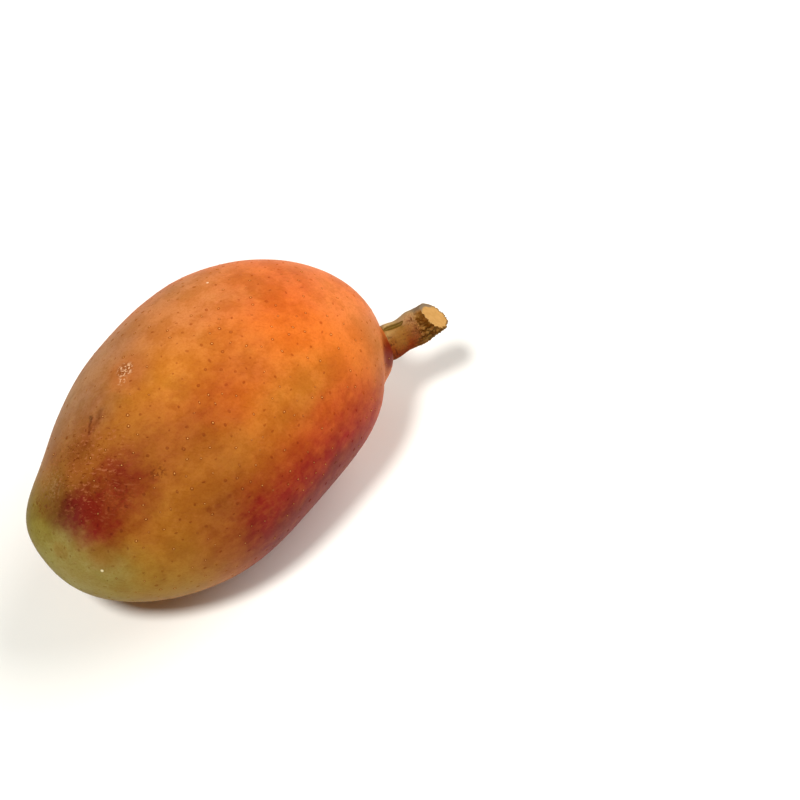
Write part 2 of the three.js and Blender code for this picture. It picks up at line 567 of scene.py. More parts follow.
last_row = STEM_RINGS + 2 * CAP_RINGS
grid = add_node(tree, "GeometryNodeMeshGrid")
for label, value in (("Size X", 1), ("Size Y", 1), ("Vertices X", last_row + 1),
                     ("Vertices Y", STEM_SIDES + 1)):
    grid.inputs[label].default_value = value
across, around, _ = places(tree).parts()
row = (across + 0.5) * last_row
angle = (around + 0.5) * math.tau
cosine = angle.math("COSINE")
sine = angle.math("SINE")
share = clamp((row - CAP_RINGS) / STEM_RINGS)
closing = clamp(row / CAP_RINGS).math("MINIMUM", (row * -1 + last_row) / CAP_RINGS)
on_cut = (row - (last_row - CAP_RINGS)).between(0.0, 1.0)
print("the stem's grid has", last_row + 1, "rows of", STEM_SIDES + 1, "corners")

# %% [markdown]
# Each row becomes a ring round one point of the path. Three directions belong to that point:
# the way that the path goes there, one towards the belly and one towards the upper cheek.
# A ring's angle is 0 on the side of the cheek and grows towards the belly.
#
# The same corners on a straightened stem, in millimetres, are what the cracks are drawn on.

# %% Rings along the path
left = share * -1 + 1
middle = (pin["Root"].scaled(left * left) + pin["Knee"].scaled(share * left * 2)
          + pin["Tip"].scaled(share * share))
along = ((pin["Knee"] - pin["Root"]).scaled(left) + (pin["Tip"] - pin["Knee"]).scaled(share)).unit()
belly = arrow_from(tree, 0, 0, 1).cross(along).unit()
cheek = along.cross(belly)
straight = arrow_from(tree, cosine * pin["Radius"], sine * pin["Radius"], share * pin["Length"])

# %% [markdown]
# The stem is wider where it leaves the neck, round the scar of the old shoot, and at the cut.
# Like every twig it is a little out of round: part oval, part three-sided.

# %% Swellings of the stem
SCAR_SHARE = 0.64            # share of the length where the old scar is
FOOT_FLARE = (3.2, 0.9)      # a swelling fades over the first and stands out by the second
SCAR_RING = (4.0, 0.85)
CUT_LIP = (5.0, 0.45)
OVAL = (2, 20, 0.035)        # lobes, degrees that they are turned, share of the radius
THREE_SIDED = (3, 75, 0.025)


def hill(distance, length):
    """1 in the middle, falling away on both sides over a length."""
    far = distance / length
    return (far * far * -1).math("EXPONENT")


from_neck = (share * pin["Length"] - ROOT_DEPTH).math("MAXIMUM", 0.0)
from_scar = (share - SCAR_SHARE) * pin["Length"]
from_cut = left * pin["Length"]
radius = pin["Radius"]
for distance, (length, growth) in (
    (from_neck, FOOT_FLARE), (from_scar, SCAR_RING), (from_cut, CUT_LIP),
):
    radius = radius + hill(distance, length) * growth
out_of_round = fixed(tree, 1.0)
for lobes, turned, part in (OVAL, THREE_SIDED):
    out_of_round = out_of_round + ((angle - math.radians(turned)) * lobes).math("COSINE") * part
print("the stem's foot is about", round(2 * (STEM_RADIUS + FOOT_FLARE[1]), 1), "mm wide")

# %% [markdown]
# A lens-shaped groove lies on the belly side, with a ridge down its middle. It tapers to a
# point at both ends, so its depth and its width shrink together.

# %% The lens-shaped groove
LENS_ANGLE = math.radians(38)
LENS_PLACE = 5.9             # mm from the root, along the stem
LENS_LONG = 4.1              # half its length
LENS_WIDE = 0.9              # half its width
LENS_POINT = 0.02            # what is left of the width at its ends, so nothing is divided by 0
GROOVE_DEPTH = 0.8
RIDGE_HEIGHT = 0.5
RIDGE_WIDTH = 0.35           # share of the groove's width


def lens_taper(height):
    """The share of the lens's width at a height above the root, in mm."""
    far = (height - LENS_PLACE) / LENS_LONG
    return (far ** 4.0 * -1 + 1).math("MAXIMUM", LENS_POINT)


taper = lens_taper(share * pin["Length"])
from_lens = (angle - LENS_ANGLE) * STEM_RADIUS / (taper * LENS_WIDE)
groove = (hill(from_lens, 1.0) * GROOVE_DEPTH - hill(from_lens, RIDGE_WIDTH) * RIDGE_HEIGHT) * taper
radius = radius * out_of_round - groove
print("the lens is", 2 * LENS_LONG, "mm long and", 2 * LENS_WIDE, "mm wide")

# %% [markdown]
# The bark is cracked along its length, and flaky between the cracks. Both are strongest
# towards the cut, and the belly side stays nearly smooth. A crack is drawn where a noise,
# stretched along the stem, passes through its middle value.

# %% Cracks and flakes
CRACK_STRETCH = (1, 1, 0.22)
CRACK_PATTERN = (0.9, 4.0, 0.60)      # hills to a mm, finer layers of them, and their strength
CRACK_WIDTH = 0.09                    # how near the middle value still counts as a crack
CRACK_DEPTH = 0.45
FLAKE_PATTERN = (1.7, 3.0, 0.65)
FLAKE_HEIGHT = 1.1
ROUGH_ALONG = (0.35, 0.75)            # shares of the length, from least rough to most
ROUGH_ROUND = (0.95, 0.1)             # sines of the angle, from the belly side to the others
ROUGH_AT_FOOT = 0.35                  # what is left of the roughness at the foot
ROUGH_ON_BELLY = 0.2                  # and on the belly side

crack = noise(tree, straight * CRACK_STRETCH, *CRACK_PATTERN)
deep = (crack - 0.5).math("ABSOLUTE").between(CRACK_WIDTH, 0.0)
flakes = noise(tree, straight, *FLAKE_PATTERN) - 0.5
rough = share.between(*ROUGH_ALONG) + ROUGH_AT_FOOT
rough = rough * (sine.between(*ROUGH_ROUND) * (1 - ROUGH_ON_BELLY) + ROUGH_ON_BELLY)
rough = rough * pin["Cracks"]
radius = radius + (flakes * FLAKE_HEIGHT - deep * CRACK_DEPTH) * rough

# %% [markdown]
# Towards the cut the rings slide along the tip's direction until they lie in the slanted
# plane. The rim is splintered where it is highest, and the face of the cut is dished.

# %% The slanted cut
SLANT_START = 0.55           # share of the length where the rings begin to slant
SPLINTER_PATTERN = (0.75, 1.5, 0.60)
SPLINTER_SIDE = (-0.2, 0.6)  # cosines of the angle, from no long splinters to all of them
SPLINTER_REACH = 1.1         # mm below the cut
SPLINTER_LENGTH = 3.4        # times the noise, on the side of the cheek
LEAST_SPLINTER = 0.3         # all round
MOSTLY_UP = 0.45             # under a half, so more of the rim stands up than is broken off
DISH_DEPTH = 0.35

offset = cheek.scaled(cosine * radius) + belly.scaled(sine * radius)
tip_way = (pin["Tip"] - pin["Knee"]).unit()
to_plane = offset.dot(pin["Cut Way"]) / tip_way.dot(pin["Cut Way"]) * -1
offset = offset + tip_way.scaled(to_plane * share.between(SLANT_START, 1.0))
splinters = noise(tree, straight * LEVEL, *SPLINTER_PATTERN) - MOSTLY_UP
splinters = splinters * (cosine.between(*SPLINTER_SIDE) * SPLINTER_LENGTH + LEAST_SPLINTER)
splinters = splinters * hill(from_cut, SPLINTER_REACH) * (on_cut * -1 + 1)
dish = (closing * closing * -1 + 1) * on_cut * -DISH_DEPTH
place = middle + offset.scaled(closing) + tip_way.scaled(splinters + dish)
slant = direction(*STEM_TIP).angle(direction(*STEM_CUT))
print("the cut is slanted by", round(math.degrees(slant)), "degrees")

# %% [markdown]
# Every corner keeps its place on the straightened stem, so that the bark can be painted
# without a seam, and says whether it is on the cut. Corners that meet, where the grid closes
# round the stem and at both ends, are merged. The stem is then turned and moved as the fruit.

# %% Close the stem
SEAM = 0.002 * MM            # corners nearer than this become one

painted_place = straight * arrow_from(tree, closing, closing, 1.0)
sheet = Number(tree, grid.outputs["Mesh"])
sheet = store(tree, sheet, "straight_place", painted_place, "FLOAT_VECTOR")
sheet = store(tree, sheet, "on_cut", on_cut, "FLOAT")
rolled = set_place(tree, sheet, place.scaled(MM))
closed = add_node(tree, "GeometryNodeMergeByDistance")
connect(closed.inputs["Geometry"], rolled)
closed.inputs["Distance"].default_value = SEAM
laid = add_node(tree, "GeometryNodeTransform")
tree.links.new(closed.outputs[0], laid.inputs["Geometry"])
connect(laid.inputs["Rotation"], pin["Lying"])
connect(laid.inputs["Translation"], pin["Centre"])
end_tree(tree, Number(tree, laid.outputs[0]), pin["Finish"], "Stem")

# %% [markdown]
# The recipe is run with the sizes worked out above. Cracks is a plain number from 0, for a
# smooth young shoot, to 1 for old bark.

# %% Make the stem
stem = run_tree("mango_stem", stem_tree, {
    "Root": root,
    "Knee": knee,
    "Tip": tip,
    "Cut Way": direction(*STEM_CUT),
    "Length": STEM_LENGTH,
    "Radius": STEM_RADIUS,
    "Cracks": 1.0,
    "Lying": LYING,
    "Centre": CENTRE,
    "Finish": bark_finish,
})

# %% [markdown]
# ## The pores
#
# A mango's skin is dotted with lenticels, the pores that it breathes through. Each one is a
# corky speck about a millimetre wide: a dark ring with a pale grain in its middle. They
# could be painted with a cell pattern. Here they are scattered as low mounds, so that they
# keep an even distance, lie across the skin everywhere and catch a little light.
#
# The points are spread first. None is near the table, where the skin is pressed flat, and
# each one draws a number that says how ripe its pore is.

# %% Spread the points
PORE_DISTANCE = 2.8 * MM     # the least between two neighbours
PORE_RADIUS = 0.55 * MM
PORE_CROWD = 90000           # at most this many on a square metre
PORE_SEED = 7
RIPENESS_SEED = 11
ABOVE_TABLE = 1.5 * MM       # pores only above this height

pore_tree, pin = new_tree(
    "Pores on a skin", "GeometryNodeTree",
    {"Skin": "Geometry", "Distance": "Float", "Radius": "Float", "Seed": "Int",
     "Finish": "Material"},
    {"Pores": "Geometry"},
)
tree = pore_tree
scatter = add_node(tree, "GeometryNodeDistributePointsOnFaces", distribute_method="POISSON")
connect(scatter.inputs["Mesh"], pin["Skin"])
connect(scatter.inputs["Distance Min"], pin["Distance"])
connect(scatter.inputs["Seed"], pin["Seed"])
height = places(tree).parts()[2]
connect(scatter.inputs["Selection"], height.math("GREATER_THAN", ABOVE_TABLE))
scatter.inputs["Density Max"].default_value = PORE_CROWD
chance = add_node(tree, "FunctionNodeRandomValue", data_type="FLOAT")
chance.inputs["Seed"].default_value = RIPENESS_SEED
points = add_node(tree, "GeometryNodeStoreNamedAttribute", data_type="FLOAT", domain="POINT")
points.inputs["Name"].default_value = "ripe"
tree.links.new(scatter.outputs["Points"], points.inputs["Geometry"])
tree.links.new(chance.outputs[1], points.inputs["Value"])

# %% [markdown]
# One mound is a shallow cone of a few rings, rounded over. Its rim dips below the skin, and
# each corner keeps its distance from the middle, which the paint turns into ring and grain.

# %% One mound
MOUND_SIDES = 9
MOUND_RINGS = 3
MOUND_HEIGHT = 0.16          # times the radius
LET_IN = 0.25                # share of its height that is let into the skin

mound = add_node(tree, "GeometryNodeMeshCone", fill_type="TRIANGLE_FAN")
for label, value in (("Vertices", MOUND_SIDES), ("Side Segments", MOUND_RINGS), ("Radius Top", 0),
                     ("Radius Bottom", 1), ("Depth", 1)):
    mound.inputs[label].default_value = value
spot = places(tree)
from_middle = (spot * LEVEL).length()
x, y, z = spot.parts()
low_mound = (from_middle * from_middle * -1 + (1 - LET_IN)) * MOUND_HEIGHT
shape = store(tree, Number(tree, mound.outputs["Mesh"]), "from_middle", from_middle, "FLOAT")
shape = set_place(tree, shape, arrow_from(tree, x, y, low_mound))

# %% [markdown]
# A mound goes on every point, turned to lie on the skin. Each one is stretched by three
# random numbers, so that some pores are small, some large and most a little oval.

# %% A mound on every point
SMALLEST_PORE = (0.5, 0.5, 0.8)       # across, across, and high, times the radius
LARGEST_PORE = (1.35, 1.35, 1.0)
SIZE_SEED = 3

size = add_node(tree, "FunctionNodeRandomValue", data_type="FLOAT_VECTOR")
size.inputs[0].default_value = SMALLEST_PORE
size.inputs[1].default_value = LARGEST_PORE
size.inputs["Seed"].default_value = SIZE_SEED
dots = add_node(tree, "GeometryNodeInstanceOnPoints")
tree.links.new(points.outputs[0], dots.inputs["Points"])
connect(dots.inputs["Instance"], shape)
tree.links.new(scatter.outputs["Rotation"], dots.inputs["Rotation"])
connect(dots.inputs["Scale"], Arrow(tree, size.outputs[0]).scaled(pin["Radius"]))
end_tree(tree, Number(tree, dots.outputs[0]), pin["Finish"], "Pores")

# %% [markdown]
# The tree is run on a copy of the finished skin, and only the mounds come out of it.

# %% Make the pores
pores = run_tree("mango_pores", pore_tree, {
    "Distance": PORE_DISTANCE,
    "Radius": PORE_RADIUS,
    "Seed": PORE_SEED,
    "Finish": pore_finish,
}, start=fruit.data.copy())

# %% [markdown]
# ## Painting in the fruit's own frame
#
# The skin's colours belong to places on the fruit: green at the beak, orange towards the
# stem, crimson where the sun reached it. So the paint of the skin and of the pores first
# turns the object's coordinates back into the fruit's own frame, in millimetres, with a
# Mapping node of type Texture, which undoes a place, a turn and a size.

# %% Open a material
def start_material(material, roughness, specular):
    """An empty material with its shader; gives back the tree and the shader."""
    material.use_nodes = True
    tree = material.node_tree
    shader = tree.nodes["Principled BSDF"]
    shader.inputs["Roughness"].default_value = roughness
    shader.inputs["Specular IOR Level"].default_value = specular
    return tree, shader


def own_frame(tree):
    """The place on the fruit, in mm: towards the stem end, the belly and the upper cheek."""
    surface = add_node(tree, "ShaderNodeTexCoord")
    back = add_node(tree, "ShaderNodeMapping", vector_type="TEXTURE")
    tree.links.new(surface.outputs["Object"], back.inputs["Vector"])
    back.inputs["Location"].default_value = CENTRE
    back.inputs["Rotation"].default_value = LYING
    back.inputs["Scale"].default_value = (MM, MM, MM)
    return Arrow(tree, back.outputs["Vector"])


def kept_value(tree, name):
    """The outputs of a node that reads what a geometry tree kept on the mesh."""
    return add_node(tree, "ShaderNodeAttribute", attribute_name=name).outputs


# %% [markdown]
# Paint is built up in coats. One helper lays a colour over another, one pushes a place about
# so that an edge comes out ragged, and one makes the surface stand out.

# %% Helpers for coats of paint
def mix(tree, amount, below, above, blend="MIX"):
    """Lays one colour over another."""
    node = add_node(tree, "ShaderNodeMix", data_type="RGBA", blend_type=blend)
    for plug, value in zip((node.inputs[0], node.inputs[6], node.inputs[7]), (amount, below, above)):
        connect(plug, value if isinstance(value, (Number, int, float)) else (*value, 1))
    return Number(tree, node.outputs[2])


def drift(tree, vector, scale, reach, detail=2.0):
    """A random push in every direction, up to about half the reach."""
    node = add_node(tree, "ShaderNodeTexNoise")
    connect(node.inputs["Vector"], vector)
    node.inputs["Scale"].default_value = scale
    node.inputs["Detail"].default_value = detail
    push = Arrow(tree, node.outputs["Color"]) - (0.5, 0.5, 0.5)
    return push.scaled(reach)


def bump(tree, shader, height, distance):
    node = add_node(tree, "ShaderNodeBump")
    node.inputs["Distance"].default_value = distance
    connect(node.inputs["Height"], height)
    tree.links.new(node.outputs[0], shader.inputs["Normal"])


# %% [markdown]
# ## One soft patch
#
# Most markings on a fruit are soft-edged spots. This group measures how far a place is from
# the middle of an oval, and fades from 1 inside to 0 outside. An edge of 1 fades all the
# way from the middle, and a small edge is crisp.

# %% The patch group
def soft_edge(distance, edge):
    """1 well inside the distance of 1, 0 well outside it."""
    return distance.between(edge + 1, edge * -1 + 1)


patch_group, pin = new_tree(
    "Soft patch", "ShaderNodeTree",
    {"Place": "Vector", "Middle": "Vector", "Half Sizes": "Vector", "Edge": "Float"},
    {"Amount": "Float"},
)
distance = ((pin["Place"] - pin["Middle"]) / pin["Half Sizes"]).length()
finish_tree(patch_group, Amount=soft_edge(distance, pin["Edge"]))


def patch(tree, place, name, middle, half_sizes, edge):
    node = use_group(tree, patch_group, Place=place, Middle=middle, Half_Sizes=half_sizes, Edge=edge)
    node.label = name
    return Number(tree, node.outputs[0])


# %% [markdown]
# A rub or a scratch is a stroke from one place to another, with the same kind of edge.

# %% The stroke group
stroke_group, pin = new_tree(
    "Soft stroke", "ShaderNodeTree",
    {"Place": "Vector", "Start": "Vector", "End": "Vector", "Radius": "Float", "Edge": "Float"},
    {"Amount": "Float"},
)
way = pin["End"] - pin["Start"]
from_start = pin["Place"] - pin["Start"]
share = clamp(from_start.dot(way) / way.dot(way))
distance = (from_start - way.scaled(share)).length() / pin["Radius"]
finish_tree(stroke_group, Amount=soft_edge(distance, pin["Edge"]))


def stroke(tree, place, name, start, end, radius, edge):
    node = use_group(tree, stroke_group, Place=place, Start=start, End=end, Radius=radius, Edge=edge)
    node.label = name
    return Number(tree, node.outputs[0])


# %% [markdown]
# ## The skin's colour
#
# Under the blush the ground colour ripens from olive green at the beak through ochre to
# orange at the shoulder. The blush is a red ink in the outer cells: it takes out most of
# the green and some of the rest, so it is multiplied in, never painted over.
#
# All this could be painted on the mesh by hand. Patches with names and sizes are easier to
# find and to change, and they stay sharp however near the view comes.
#
# Each patch is written as a place on the skin, its size and how it fades: how far along
# from the middle towards the stem, the angle round from the upper cheek towards the belly,
# half a length, half a width, an edge and a strength. Lengths are in millimetres.

# %% Colours of the skin
BEAK_GREEN = (0.225, 0.172, 0.020)
OCHRE = (0.40, 0.147, 0.017)
ORANGE = (0.67, 0.148, 0.017)
BLUSH_INK = (0.46, 0.085, 0.32)
GREEN_TO_OCHRE = (-60, -40)  # along the fruit, in mm
OCHRE_TO_ORANGE = (-36, 24)

BLUSH = {
    "sunny shoulder": (36, 34, 16, 14, 0.8, 0.28),
    "top of the cheek band": (1, 6, 11, 8, 0.9, 0.32),
    "band across the cheek": (-15, 2, 12, 9, 0.9, 0.36),
    "heart of the crimson": (-49, -2, 6, 9, 0.6, 0.85),
    "belly end of the crimson": (-52, 13, 5, 7, 0.7, 0.78),
    "crimson on the cheek": (-36.5, 3, 6, 7, 0.7, 0.70),
    "cheek beyond the crimson": (-31, -2, 8, 8, 0.9, 0.17),
    "between the crimsons": (-42, 2, 6.5, 10, 0.9, 0.62),
    "tail of the crimson": (-45, -20, 6, 6, 0.9, 0.22),
    "glow round the crimson": (-38, 20, 18, 22, 0.8, 0.32),
    # Real crimson, deepened with painted shade at the corner of the back.
    "blushed corner of the back with painted shade": (-9, -64, 10, 16, 0.5, 0.80),
    "blushed back": (14, -88, 34, 32, 0.5, 0.85),
    # Real crimson, deepened with painted shade along the back.
    "painted shade deepening the blushed back": (4, -84, 22, 26, 0.5, 0.55),
    "blushed back by the stem": (33, -64, 11, 9, 0.8, 0.48),
    "brown of the back": (-20, -48, 13, 12, 0.9, 0.36),
    "glow above the blushed back": (7, -53, 29, 17, 0.9, 0.32),
}
print("the blush has", len(BLUSH), "patches")

# %% [markdown]
# Other marks change the colour itself, so each one is mixed in: a grey-green waxy bloom by
# the beak, olive clouds where the fruit ripened late, and brown scars. Some stand for light
# and shade: a painted sheen on the flank and the top, painted highlights on the top and the
# shoulder, and painted shade on the ground of the back. They are written in the same way,
# with a colour at the end.

# %% Marks on the skin
MARKS = {
    "bloom under the beak": (-57, -42, 8, 14, 0.7, 0.66, (0.33, 0.26, 0.085)),
    "olive underside by the beak": (-44, -80, 14, 16, 0.8, 0.50, (0.26, 0.17, 0.014)),
    "dark belly side of the beak": (-53, 43, 5, 7, 0.8, 0.42, (0.15, 0.060, 0.008)),
    "green tip of the beak": (-58, 80, 6, 9, 0.8, 0.50, (0.20, 0.16, 0.014)),
    "brown flank by the beak": (-43, 58, 14, 14, 0.8, 0.45, (0.28, 0.100, 0.014)),
    # The next four are painted sheen: a pale, greyish tan laid on where the wax catches the light.
    "painted sheen on the belly flank": (-22, 74, 24, 15, 0.8, 0.50, (0.36, 0.195, 0.080)),
    "painted sheen beside the rubs": (-28, 52, 8, 7, 0.9, 0.45, (0.40, 0.20, 0.100)),
    "painted sheen beside the flakes": (-12, 62, 10, 8, 0.9, 0.55, (0.42, 0.19, 0.080)),
    "painted sheen on the top": (14, 52, 18, 14, 0.8, 0.55, (0.50, 0.21, 0.070)),
    "warm edge of the crimson": (-49, -12, 7, 7, 0.9, 0.45, (0.50, 0.17, 0.018)),
    "red rim of the flakes": (-15, 40, 5, 4.5, 0.8, 0.55, (0.52, 0.15, 0.035)),
    "brown streak down the cheek": (4, 19, 8, 9, 0.9, 0.28, (0.43, 0.15, 0.028)),
    "brown side of the top": (16, 69, 12, 7, 0.9, 0.40, (0.42, 0.20, 0.075)),
    # The next three are painted highlights: a pale pink laid on the top and the shoulder where light
    # falls on them, and over the shaded dip beside the neck.
    "painted highlight on the top": (46, 38, 13, 11, 0.9, 0.14, (0.86, 0.32, 0.15)),
    "painted highlight over the neck": (56, -30, 6, 7, 0.9, 0.45, (0.85, 0.30, 0.13)),
    "painted highlight by the stem": (49, 2, 8, 10, 0.9, 0.35, (0.68, 0.22, 0.065)),
    "tan rim by the stem": (52, -46, 9, 13, 0.8, 0.50, (0.36, 0.14, 0.024)),
    "olive cloud on the cheek": (18, -16, 12, 8, 0.8, 0.50, (0.36, 0.165, 0.020)),
    "olive cloud in the middle": (-6, -22, 14, 8, 0.9, 0.40, (0.36, 0.15, 0.018)),
    "brown middle": (-18, -8, 10, 8, 0.9, 0.40, (0.34, 0.115, 0.016)),
    "yellow cheek": (-9, 30, 12, 9, 0.8, 0.25, (0.50, 0.21, 0.024)),
    "brown blotch": (-20, -36, 7, 6, 0.9, 0.58, (0.24, 0.070, 0.012)),
    "brown beside the flakes": (-15, 43.5, 5, 5, 0.9, 0.40, (0.42, 0.15, 0.045)),
    "bright cheek by the band": (-11, 20, 7, 7, 0.9, 0.45, (0.62, 0.215, 0.030)),
    "brown streak by the top": (12.5, 9, 7, 8, 0.9, 0.40, (0.46, 0.15, 0.028)),
    "brown below the band": (-14, -18, 8, 6, 0.9, 0.40, (0.36, 0.115, 0.016)),
    "bright top of the shoulder": (35.5, 24, 6, 5, 0.9, 0.40, (0.74, 0.16, 0.022)),
    "tan below the shoulder": (35, -22, 9, 9, 0.9, 0.35, (0.55, 0.155, 0.018)),
    # Partly the back's own darker ground, partly painted shade along the back's lower side.
    "dark ground and painted shade of the back": (10, -77, 26, 12, 0.3, 0.75, (0.33, 0.09, 0.012)),
}
print("the skin has", len(MARKS), "marks")

# %% [markdown]
# Four strokes on the belly side of the cheek were left by a twig: two dark prongs, the brown
# spot where they meet, and a soft smear beyond it. Each has two ends, written like the
# middle of a patch, then a radius, an edge, a strength and a colour.

# %% Rubs
RUBS = {
    "first prong": ((-31, 44), (-34.5, 38.5), 0.5, 0.7, 0.80, (0.095, 0.035, 0.010)),
    "second prong": ((-28, 40.5), (-34, 37.5), 0.8, 0.9, 0.55, (0.18, 0.050, 0.010)),
    "meeting of the prongs": ((-33, 40), (-37.5, 37.5), 1.7, 0.9, 0.50, (0.30, 0.070, 0.012)),
    "smear": ((-38, 35), (-42.5, 38), 2.6, 0.9, 0.50, (0.25, 0.075, 0.011)),
}
print("the twig left", len(RUBS), "strokes")

# %% [markdown]
# The smallest marks are spots and stains of a few millimetres, with the brown and purple of
# the neck, which are partly painted shade in the dip beside it. They are laid on after the
# blush, since a stain covers it. Each one has a place in the fruit's own frame, half its
# size, an edge, a strength and a colour.

# %% Small marks
SMALL_MARKS = {
    "brown dent over the crimson": ((-43.8, 12.5, 20.4), 3.3, 0.7, 0.50, (0.28, 0.075, 0.012)),
    "red beside the heart": ((-47.0, -1.2, 23.0), 4.4, 0.8, 0.65, (0.15, 0.009, 0.003)),
    "olive tail of the crimson": ((-52.5, -11.0, 17.1), 4.0, 0.8, 0.70, (0.24, 0.100, 0.010)),
    "brown round the flakes": ((-15.0, 24.8, 26.2), 5.0, 0.8, 0.75, (0.40, 0.115, 0.025)),
    "first spot in the blotch": ((-24.1, -19.4, 28.7), 0.9, 0.6, 0.50, (0.17, 0.023, 0.004)),
    "second spot in the blotch": ((-21.6, -20.3, 28.8), 0.8, 0.6, 0.45, (0.17, 0.023, 0.004)),
    "third spot in the blotch": ((-17.5, -20.5, 29.5), 0.7, 0.6, 0.50, (0.17, 0.023, 0.004)),
    "fourth spot in the blotch": ((-20.0, -25.5, 25.8), 0.8, 0.7, 0.45, (0.17, 0.023, 0.004)),
    "brown under the flakes": ((-15.5, 26.0, 24.8), 2.3, 0.5, 0.50, (0.20, 0.050, 0.012)),
    "olive spot on the beak": ((-58.9, -1.6, 10.3), 2.7, 0.35, 0.70, (0.245, 0.145, 0.024)),
    # The next two are partly the neck's own purple-red blush, partly painted shade in the dip round
    # the neck.
    "brown and painted shade of the neck": ((57.6, -16.5, 7.8), 5.8, 0.30, 0.85, (0.28, 0.050, 0.007)),
    "purple and painted shade of the neck": ((57.9, -17.6, 7.9), 4.0, 0.40, 0.90, (0.165, 0.009, 0.003)),
}
print("the skin has", len(SMALL_MARKS), "small marks")

# %% [markdown]
# Specks are crusty: a patch is broken up by a fine noise, so only its grains show, and a
# speck of less than a millimetre is one grain. Each has a place, a radius in millimetres, a
# strength and a colour.

# %% Specks
PALE_CRUST = (0.86, 0.50, 0.26)
DARK_CRUST = (0.13, 0.024, 0.004)
SPECKS = {
    "pale flakes": (-15.5, 46, 2.2, 0.8, PALE_CRUST),
    "pale flakes below": (-18.5, 43, 1.4, 0.6, PALE_CRUST),
    "dark crust on the cheek": (-29.5, -5, 2.4, 0.6, DARK_CRUST),
    "dark crust in the crimson": (-41, -1, 5.0, 0.35, DARK_CRUST),
    "dark crust by the beak": (-54, 52, 3.5, 0.6, DARK_CRUST),
    "pale crust by the beak": (-50, 50, 5.0, 0.25, (0.48, 0.29, 0.13)),
    "white grain by the beak": (-54.5, -44, 0.4, 0.8, (0.90, 0.80, 0.50)),
    "white grain at the top": (22, 57, 0.35, 0.8, (0.95, 0.70, 0.45)),
}
ONE_GRAIN = 1                # mm: a smaller speck isn't broken up
print("the skin has", len(SPECKS), "specks")

# %% [markdown]
# A mark has to lie on the skin, and the skin isn't a plain ball. A ray from the fruit's
# long axis finds the point where it leaves the mesh.

# %% Places on the skin
skin_mesh = BVHTree.FromPolygons(
    [corner.co for corner in fruit.data.vertices],
    [face.vertices for face in fruit.data.polygons],
)


def on_skin(along, turned):
    """The point on the skin, in mm, at a distance along and an angle round from the upper cheek."""
    start = CENTRE + lying_turn @ Vector((along, 0, 0)) * MM
    way = Vector((0, math.sin(math.radians(turned)), math.cos(math.radians(turned))))
    hit = skin_mesh.ray_cast(start, lying_turn @ way)[0]
    return lying_turn.inverted() @ (hit - CENTRE) / MM


print("brown blotch is at", [round(value, 1) for value in on_skin(*MARKS["brown blotch"][:2])])

# %% [markdown]
# ## The skin, in layers
#
# The group below gives the skin's colour at a place. The materials of the skin and of the
# pores both use it, so that a pore's rim melts into the skin round it. It is filled in over
# the next cells, a layer at a time.
#
# No mark on a fruit has a smooth edge. So the place is pushed about before a mark is
# measured from it: a little for the small marks, and further for the large ones.

# %% Open the skin group
SMALL_PUSH = (0.5, 1.8, 3.0)  # hills to a mm, mm of reach, finer layers
WIDE_PUSH = (0.085, 9.0)

skin_group, pin = new_tree(
    "Mango skin", "ShaderNodeTree", {"Place": "Vector"},
    {"Colour": "Color", "Scuffs": "Float", "Grain": "Float"},
)
tree = skin_group
place = pin["Place"]
crumbled = place + drift(tree, place, *SMALL_PUSH)
ragged = crumbled + drift(tree, place, *WIDE_PUSH)


def spot_on_skin(name, along, turned, half_length, half_width, edge):
    sizes = (half_length, half_width, half_width)
    return patch(tree, ragged, name, on_skin(along, turned), sizes, edge)


# %% [markdown]
# The ground goes on first: two soft steps along the fruit, from green to ochre and from
# ochre to orange. The marks and the rubs are then mixed in, one after another.

# %% The ground colour, its marks and the rubs
along_fruit = ragged.parts()[0]
colour = mix(tree, along_fruit.between(*GREEN_TO_OCHRE), BEAK_GREEN, OCHRE)
colour = mix(tree, along_fruit.between(*OCHRE_TO_ORANGE), colour, ORANGE)
for name, (*spot, strength, tint) in MARKS.items():
    colour = mix(tree, spot_on_skin(name, *spot) * strength, colour, tint)
for name, (start, end, radius, edge, strength, tint) in RUBS.items():
    rub = stroke(tree, crumbled, name, on_skin(*start), on_skin(*end), radius, edge)
    colour = mix(tree, rub * strength, colour, tint)

# %% [markdown]
# The patches of blush overlap like coats of ink: each one leaves only a share of the skin
# clear, and the shares are multiplied, so they never add up past full. Three noises break
# the coat up: clouds as wide as a finger, a mottle of a few millimetres, and streaks that
# run along the fruit. A pattern's numbers are the hills to a millimetre, how many finer
# layers are added to them and how strong these are.

# %% The blush
CLOUDS = (0.055, 3.0, 0.60)
MOTTLE = (0.26, 4.0, 0.65)
STREAKS = (0.9, 3.0, 0.60)
STREAK_STRETCH = (0.16, 1, 1)
EVEN_BLUSH = 0.70            # how much of a patch shows where the mottle is thinnest
MOTTLED_BLUSH = 0.6          # how much more where it is thickest
CLOUDY = 0.4                 # blush that each noise gives and takes, everywhere
MOTTLED = 0.35
STREAKY = 0.25

clear = fixed(tree, 1.0)
for name, (*spot, strength) in BLUSH.items():
    clear = clear * (spot_on_skin(name, *spot) * -strength + 1)
clouds = noise(tree, place, *CLOUDS)
mottle = noise(tree, place, *MOTTLE)
streaks = noise(tree, place * STREAK_STRETCH, *STREAKS)
blush = (clear * -1 + 1) * (mottle * MOTTLED_BLUSH + EVEN_BLUSH)
blush = blush + (clouds - 0.5) * CLOUDY + (mottle - 0.5) * MOTTLED
blush = clamp(blush + (streaks - 0.5) * STREAKY)
colour = mix(tree, blush, colour, BLUSH_INK, "MULTIPLY")

# %% [markdown]
# The stains and spots go on top of the blush. Their edges are only crumbled, because a wide
# push would carry a spot of two millimetres off its place.

# %% The small marks
for name, (spot, size, edge, strength, tint) in SMALL_MARKS.items():
    small = patch(tree, crumbled, name, spot, (size, size, size), edge)
    colour = mix(tree, small * strength, colour, tint)

